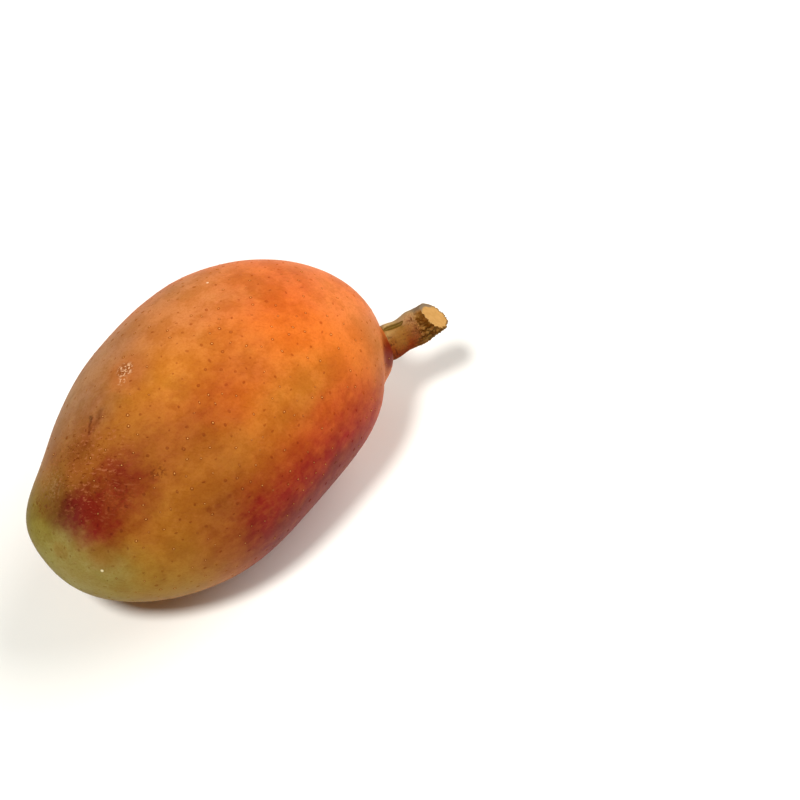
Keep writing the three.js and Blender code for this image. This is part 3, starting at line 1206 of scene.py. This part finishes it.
# %% [markdown]
# No stretch of skin has one even colour. Some clouds ripened late and are a touch greener,
# the whole skin goes lighter and darker from place to place, and close up it is speckled
# with darker, yellower cells. Two patterns that are read at the same place could line up, so
# some are read at a shifted one. A pattern's step is the two values of its noise between
# which it goes from none to all.

# %% Unevenness of the skin
LATE_CLOUDS = (0.12, 3.0)
LATE_STEP = (0.5, 0.75)
LATE_TINT = (0.86, 1.0, 0.9)
LATE_STRENGTH = 0.35
SHADES = (0.11, 4.0, 0.68)
SHADE_STEP = (0.40, 0.60)
LIGHT_SHADE = (1.08, 1.12, 1.25)
DARK_SHADE = (0.92, 0.88, 0.75)
CELLS = (1.6, 3.0, 0.60)
CELL_START = 0.45            # of the noise, where the darker cells start
CELL_YELLOW = (0.76, 0.56, 0.20)
CELL_CONTRAST = 3.0
CELL_STRENGTH = 0.46


def elsewhere(place, x, y):
    """The place shifted by so many millimetres."""
    return place + (x, y, 0)


late = noise(tree, elsewhere(place, 40, 0), *LATE_CLOUDS).between(*LATE_STEP)
colour = mix(tree, late * LATE_STRENGTH, colour, LATE_TINT, "MULTIPLY")
uneven = noise(tree, elsewhere(place, 0, 30), *SHADES)
shade = mix(tree, uneven.between(*SHADE_STEP), LIGHT_SHADE, DARK_SHADE)
colour = mix(tree, 1.0, colour, shade, "MULTIPLY")
cells = noise(tree, place, *CELLS)
speckled = clamp((cells - CELL_START) * CELL_CONTRAST) * CELL_STRENGTH
colour = mix(tree, speckled, colour, CELL_YELLOW, "MULTIPLY")

# %% [markdown]
# Growing among leaves and being picked leave scuffs: thin wandering hairlines, which are
# drawn where a noise passes through its middle value, short slanted dashes, and dark nicks.
# They are everywhere, and thickest in a worn place beside the beak. Strokes like the rubs
# above could draw them one by one, but there are hundreds, and a noise makes them all.

# %% Scuffs
WORN_BY_THE_BEAK = (-42, 27, 13, 13, 0.5)
ELSEWHERE_WORN = 0.12        # how scuffed the rest of the skin is
HAIRLINES = (0.42, 1.0)
HAIR_PUSH = (0.5, 4.0)
HAIR_WIDTH = 0.016           # how near the middle value still counts as a hairline
HAIR_STRENGTH = 0.7
GAPS = (0.8, 1.0)            # where the hairlines are broken off
GAP_STEP = (0.46, 0.56)
DASHES = (0.8, 2.0, 0.60)
DASH_STEP = (0.57, 0.66)
DASH_LONG = 0.3              # the pattern is drawn out one way
DASH_THIN = 1.2              # and pressed together the other way
SCUFF_TINT = (0.50, 0.17, 0.07)
SCUFF_STRENGTH = 0.38
NICKS = (0.9, 2.0)
NICK_STEP = (0.60, 0.68)
NICKS_ANYWHERE = 0.4
NICKS_WHERE_WORN = 1.3       # more of them in the worn place
NICK_TINT = (0.62, 0.40, 0.16)
NICK_STRENGTH = 0.5

worn = spot_on_skin("worn by the beak", *WORN_BY_THE_BEAK)
hair = noise(tree, place + drift(tree, place, *HAIR_PUSH), *HAIRLINES)
hair = (hair - 0.5).math("ABSOLUTE").between(HAIR_WIDTH, 0.0)
gaps = noise(tree, place, *GAPS).between(*GAP_STEP)
along, across, up = place.parts()
slanted = arrow_from(tree, (along - across) * DASH_LONG, (along + across) * DASH_THIN, up * DASH_THIN)
dashes = noise(tree, slanted, *DASHES).between(*DASH_STEP)
scuffs = clamp(hair * gaps * HAIR_STRENGTH + dashes) * (worn + ELSEWHERE_WORN)
colour = mix(tree, scuffs * SCUFF_STRENGTH, colour, SCUFF_TINT)
nicks = noise(tree, elsewhere(slanted, 9, 0), *NICKS).between(*NICK_STEP)
nicked = nicks * (worn * NICKS_WHERE_WORN + NICKS_ANYWHERE) * NICK_STRENGTH
colour = mix(tree, nicked, colour, NICK_TINT, "MULTIPLY")

# %% [markdown]
# The specks come last, as crusts that lie on everything else. They count as scuffs too, so
# they come out duller than the wax round them.

# %% The specks, and the group's end
CRUMBS = (1.3, 2.0, 0.60)
CRUMB_STEP = (0.50, 0.58)
SPECK_EDGE = 0.5

crumbs = noise(tree, place, *CRUMBS).between(*CRUMB_STEP)
for name, (along, turned, radius, strength, tint) in SPECKS.items():
    crust = patch(tree, place, name, on_skin(along, turned), (radius, radius, radius), SPECK_EDGE)
    crust = crust * (crumbs if radius > ONE_GRAIN else 1)
    scuffs = scuffs + crust
    colour = mix(tree, crust * strength, colour, tint)
finish_tree(tree, Colour=colour, Scuffs=scuffs, Grain=cells)

# %% [markdown]
# The skin is waxy: smooth, but with a broad, weak shine that takes the warm colour of the
# skin. Its darker cells and its scuffs stand out by less than a hair and are duller, which
# the shader is told by the same two values that coloured them.

# %% Paint the skin
WAX_TINT = (1.0, 0.5, 0.2, 1)
WAX_ROUGHNESS = 0.40
CELL_ROUGHNESS = 0.18        # more on the darker cells
SCUFF_ROUGHNESS = 0.2        # more where it is scuffed
CELL_HEIGHT = 0.025 * MM
SCUFF_HEIGHT = 0.3           # of a cell's

tree, shader = start_material(skin_finish, roughness=0.5, specular=0.10)
shader.inputs["Specular Tint"].default_value = WAX_TINT
skin = use_group(tree, skin_group, Place=own_frame(tree))
tree.links.new(skin.outputs["Colour"], shader.inputs["Base Color"])
grain = Number(tree, skin.outputs["Grain"])
scuff = Number(tree, skin.outputs["Scuffs"])
roughness = grain * CELL_ROUGHNESS + WAX_ROUGHNESS + scuff * SCUFF_ROUGHNESS
connect(shader.inputs["Roughness"], roughness)
bump(tree, shader, grain + scuff * SCUFF_HEIGHT, CELL_HEIGHT)
print("the skin's paint has", len(tree.nodes), "nodes")

# %% [markdown]
# A pore takes the skin's colour and darkens it to a ring. The riper ones have a pale corky
# grain in the middle. Both fade out towards the beak, where the skin is still green and its
# pores hardly show.

# %% Paint the pores
RING_TINT = (0.55, 0.28, 0.04)
RING_EDGES = (1.0, 0.5)      # from no ring to a full one, as shares of the radius
UNRIPE_RING = 0.4            # how strong the ring of an unripe pore is
BEAK_RING = 0.5              # how much of a ring is left at the green beak
GRAIN_COLOUR = (0.86, 0.42, 0.11)
GRAIN_EDGES = (0.50, 0.15)
GRAIN_STRENGTH = 0.8
GRAIN_RIPENESS = (0.30, 0.80)  # from no grain to a full one
GREEN_BEAK = (-56, -44)      # mm along the fruit, from faint pores to plain ones

tree, shader = start_material(pore_finish, roughness=0.7, specular=0.05)
place = own_frame(tree)
skin = use_group(tree, skin_group, Place=place)
from_middle = Number(tree, kept_value(tree, "from_middle")["Fac"])
ripe = Number(tree, kept_value(tree, "ripe")["Fac"])
turned_ripe = place.parts()[0].between(*GREEN_BEAK)
colour = Number(tree, skin.outputs["Colour"])
ring = from_middle.between(*RING_EDGES) * (ripe * (1 - UNRIPE_RING) + UNRIPE_RING)
ring = ring * (turned_ripe * (1 - BEAK_RING) + BEAK_RING)
colour = mix(tree, ring, colour, RING_TINT, "MULTIPLY")
grain = from_middle.between(*GRAIN_EDGES) * ripe.between(*GRAIN_RIPENESS) * turned_ripe
colour = mix(tree, grain * GRAIN_STRENGTH, colour, GRAIN_COLOUR)
connect(shader.inputs["Base Color"], colour)
print("the pores' paint has", len(tree.nodes), "nodes")

# %% [markdown]
# ## Bark and cut wood
#
# The stem's bark is olive brown and smooth on the belly side, and flaky and reddish brown
# towards the cut. The cut itself shows pale wood with a darker rim. An unwrapped map of the
# bark would leave a seam down one side. So the paint reads the place on the straightened
# stem, and the fibres run along it whichever way it bends.
#
# A mark on the bark has an angle round the stem in degrees, a place along it, half its width
# and half its length in millimetres, an edge, a strength and a colour.

# %% The colours of the bark
OLIVE_BARK = (0.20, 0.095, 0.014)
BROWN_BARK = (0.31, 0.140, 0.030)
LENS_GREEN = (0.090, 0.048, 0.004)
LENS_RIDGE = (0.20, 0.118, 0.024)
DARK_FLAKE = (0.115, 0.032, 0.001)
PALE_FLAKE = (0.33, 0.155, 0.040)
FRECKLE = (0.12, 0.016, 0.008)
TORN_BARK = (0.05, 0.008, 0.003)
BARK_MARKS = {
    "pale under the lens": (13, 3.0, 1.3, 3.6, 0.6, 0.85, (0.42, 0.25, 0.085)),
    "pale edge above the lens": (70, 4.0, 2.0, 4.6, 0.5, 0.85, (0.42, 0.29, 0.12)),
    "grey green shoulder": (64, 12.6, 3.0, 5.0, 0.5, 0.90, (0.31, 0.225, 0.115)),
    "grey green by the cut": (80, 19.0, 2.8, 3.2, 0.5, 0.90, (0.18, 0.125, 0.080)),
    "tan above the scar": (38, 12.5, 2.0, 4.2, 0.5, 0.80, (0.40, 0.225, 0.090)),
    "pink brown": (15, 13.0, 2.4, 3.0, 0.7, 0.50, (0.35, 0.13, 0.045)),
    "red underside": (-50, 5.5, 4.2, 6.0, 0.5, 0.90, (0.22, 0.022, 0.001)),
    "purple of the underside": (-22, 12.0, 2.0, 2.6, 0.7, 0.55, (0.24, 0.055, 0.020)),
    "olive by the foot": (-10, 5.5, 3.0, 3.4, 0.7, 0.80, (0.25, 0.105, 0.018)),
}
DARK_BY_THE_CUT = (-5, 19.0, 3.0, 1.8, 0.6)    # angle, place along, half sizes and edge
FRECKLED = (-15, 11, 5, 6, 0.6)
print("the bark has", len(BARK_MARKS), "marks")

# %% [markdown]
# The ground of the bark is a mixture of olive and brown fibres, drawn by a noise that is
# stretched along the stem. The marks are laid on it as soft patches.

# %% Bark and its marks
BARK_FIBRES = (0.9, 4.0, 0.60)
FIBRE_STEP = (0.38, 0.62)
FIBRE_STRETCH = (1, 1, 0.15)
BARK_PUSH = (0.45, 2.5)

tree, shader = start_material(bark_finish, roughness=0.75, specular=0.05)
straight = Arrow(tree, kept_value(tree, "straight_place")["Vector"])
on_cut = Number(tree, kept_value(tree, "on_cut")["Fac"])
to_cheek, to_belly, up_stem = straight.parts()
fibres = noise(tree, straight * FIBRE_STRETCH, *BARK_FIBRES)
wander = straight + drift(tree, straight, *BARK_PUSH)


def on_bark(name, angle, place, half_width, half_length, edge):
    """A patch of bark at an angle round the stem and a place along it."""
    turn = math.radians(angle)
    middle = (STEM_RADIUS * math.cos(turn), STEM_RADIUS * math.sin(turn), place)
    return patch(tree, wander, name, middle, (half_width, half_width, half_length), edge)


colour = mix(tree, fibres.between(*FIBRE_STEP), OLIVE_BARK, BROWN_BARK)
for name, (*spot, strength, tint) in BARK_MARKS.items():
    colour = mix(tree, on_bark(name, *spot) * strength, colour, tint)

# %% [markdown]
# Towards the cut the bark flakes off: dark where a flake is gone, pale where one lifts.
# Where the foot meets the skin on the back's side, the bark is torn and nearly black. Both
# start and end at heights up the stem, in millimetres, and towards one side of it.

# %% Flakes, freckles and torn bark
FLAKES = (0.8, 4.0, 0.65)
FLAKE_STRETCH = (1, 1, 0.7)
FLAKE_GONE = (0.50, 0.56)    # steps of the noise, as on the skin
FLAKE_LIFTS = (0.44, 0.38)
FLAKY_FROM = (9.0, 14.5)     # mm up the stem, from none to all
FLAKY_SIDE = (4.2, 2.0)      # mm towards the belly, from none to all
PALE_UP_TO = (18.5, 15.5)
DARK_STRENGTH = 0.85
PALE_STRENGTH = 0.7
CUT_EDGE_STRENGTH = 0.7
FRECKLES = (1.9, 2.0)
FRECKLE_STEP = (0.62, 0.68)
FRECKLE_STRENGTH = 0.8
TEARS = (1.0, 2.0)
TEAR_STEP = (0.50, 0.62)
TORN_UP_TO = (4.5, 2.0)
TORN_SIDE = (2.5, -1.0)
TORN_STRENGTH = 0.8

flake = noise(tree, straight * FLAKE_STRETCH, *FLAKES)
flaky = up_stem.between(*FLAKY_FROM) * to_belly.between(*FLAKY_SIDE)
colour = mix(tree, flake.between(*FLAKE_GONE) * flaky * DARK_STRENGTH, colour, DARK_FLAKE)
pale = flake.between(*FLAKE_LIFTS) * flaky * up_stem.between(*PALE_UP_TO) * PALE_STRENGTH
colour = mix(tree, pale, colour, PALE_FLAKE)
dark = on_bark("dark by the cut", *DARK_BY_THE_CUT) * CUT_EDGE_STRENGTH
colour = mix(tree, dark, colour, DARK_FLAKE)
freckles = noise(tree, straight, *FRECKLES).between(*FRECKLE_STEP)
freckles = freckles * on_bark("freckles", *FRECKLED) * FRECKLE_STRENGTH
colour = mix(tree, freckles, colour, FRECKLE)
torn = noise(tree, straight, *TEARS).between(*TEAR_STEP)
torn = torn * up_stem.between(*TORN_UP_TO) * to_belly.between(*TORN_SIDE)
colour = mix(tree, torn * TORN_STRENGTH, colour, TORN_BARK)

# %% [markdown]
# The lens-shaped groove is dark green with a paler ridge. It is painted by the same formula
# that sank it, as a distance from its middle line in half widths, made ragged by the flakes.

# %% Paint the lens
LENS_RAGGED = 1.1
LENS_EDGE = (1.3, 0.8)       # half widths from the middle line, from none to all
LENS_TIPS = (0.03, 0.10)     # share of the width, from none to all
LENS_STRENGTH = 0.9
RIDGE_EDGE = (0.45, 0.10)
RIDGE_STRENGTH = 0.7

beside_lens = to_belly * math.cos(LENS_ANGLE) - to_cheek * math.sin(LENS_ANGLE)
faces_lens = to_cheek * math.cos(LENS_ANGLE) + to_belly * math.sin(LENS_ANGLE)
taper = lens_taper(up_stem)
from_lens = beside_lens.math("ABSOLUTE") / (taper * LENS_WIDE) + (flake - 0.5) * LENS_RAGGED
lens = from_lens.between(*LENS_EDGE) * faces_lens.between(0.0, 1.0) * taper.between(*LENS_TIPS)
colour = mix(tree, lens * LENS_STRENGTH, colour, LENS_GREEN)
ridge = lens * from_lens.between(*RIDGE_EDGE) * RIDGE_STRENGTH
colour = mix(tree, ridge, colour, LENS_RIDGE)

# %% [markdown]
# The cut shows pale wood with a dark rim, and on the belly side a wider band of bark. How
# far a place is from the stem's middle says which of them it is.

# %% Paint the cut
WOOD = (0.50, 0.255, 0.070)
PALE_WOOD = (0.56, 0.300, 0.090)
WOOD_STEP = (0.3, 0.7)
DARK_RIM = (0.16, 0.08, 0.02)
BARK_BAND = (0.215, 0.148, 0.088)
RIM_START = (4.4, 4.9)       # mm from the stem's middle, from none to all
BAND_START = (3.5, 4.1)
BAND_SIDE = (2.4, 3.6)       # mm towards the belly
BARK_RELIEF = 0.12 * MM
FLAKE_RELIEF = 0.7           # of a fibre's

from_axis = (straight * LEVEL).length()
wood = mix(tree, fibres.between(*WOOD_STEP), WOOD, PALE_WOOD)
wood = mix(tree, from_axis.between(*RIM_START), wood, DARK_RIM)
band = from_axis.between(*BAND_START) * to_belly.between(*BAND_SIDE)
wood = mix(tree, band, wood, BARK_BAND)
colour = mix(tree, on_cut, colour, wood)
connect(shader.inputs["Base Color"], colour)
bump(tree, shader, fibres + flake * FLAKE_RELIEF, BARK_RELIEF)
print("the bark's paint has", len(tree.nodes), "nodes")

# %% [markdown]
# ## Floor and light
#
# A pale sheet of paper fills the view. It is only a stage for the fruit, so it is given to
# no part of the model.

# %% Floor
FLOOR_REACH = 3              # metres from the middle to each edge
PAPER_WHITE = (0.95, 0.935, 0.87, 1)

floor_mesh = bpy.data.meshes.new("floor")
corners = [(x * FLOOR_REACH, y * FLOOR_REACH, 0) for x, y in ((-1, -1), (1, -1), (1, 1), (-1, 1))]
floor_mesh.from_pydata(corners, [], [(0, 1, 2, 3)])
floor = bpy.data.objects.new("floor", floor_mesh)
bpy.context.scene.collection.objects.link(floor)
paper = bpy.data.materials.new("pale_paper")
tree, shader = start_material(paper, roughness=0.9, specular=0.1)
shader.inputs["Base Color"].default_value = PAPER_WHITE
floor_mesh.materials.append(paper)
print("floor, m:", [round(side, 2) for side in floor.dimensions])

# %% [markdown]
# A small soft lamp overhead, a little to the beak's side, leaves a short shadow under the
# back of the fruit, and a wide soft lamp on the stem's side brightens the shoulder. A wide
# lamp would also show as a broad pale gleam on the wax, so that one is left out of
# reflections. The room gives a trace of light from all round, so that no shadow is black.

# %% Light
ROOM_LIGHT = 0.07
WHITE = (1, 1, 1)
LAMPS = {    # the way towards it, metres away, metres wide, watts, seen in reflections
    "overhead_lamp": ((-0.42, -0.1, 0.90), 1.5, 0.3, 19, True),
    "side_lamp": ((0.75, -0.12, 0.65), 1.4, 1.6, 21, False),
}

world = bpy.data.worlds.new("room")
world.use_nodes = True
world.node_tree.nodes["Background"].inputs["Color"].default_value = (*WHITE, 1)
world.node_tree.nodes["Background"].inputs["Strength"].default_value = ROOM_LIGHT
bpy.context.scene.world = world

for name, (towards, distance, width, power, reflected) in LAMPS.items():
    light = bpy.data.lights.new(name, "AREA")
    light.shape = "DISK"
    light.size = width
    light.energy = power
    light.color = WHITE
    lamp = bpy.data.objects.new(name, light)
    bpy.context.scene.collection.objects.link(lamp)
    lamp.location = Vector(towards).normalized() * distance
    lamp.rotation_euler = lamp.location.to_track_quat("Z", "Y").to_euler()
    lamp.visible_glossy = reflected
    print(name, "hangs at, m:", [round(value, 2) for value in lamp.location])
bpy.context.scene.view_settings.view_transform = "Standard"

# %% [markdown]
# ## The pieces on their body
#
# Each piece hides the part of the imported model that it stands for. The pores grow in the
# skin, so they stand for the fruit as well. All three ride on the one body, because nothing
# on a mango moves.

# %% Fit the pieces to the frame
for piece, node, slot in ((fruit, "fruit", "skin"), (pores, "fruit", "skin"), (stem, "stem", "bark")):
    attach(piece, "root")
    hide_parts(node)
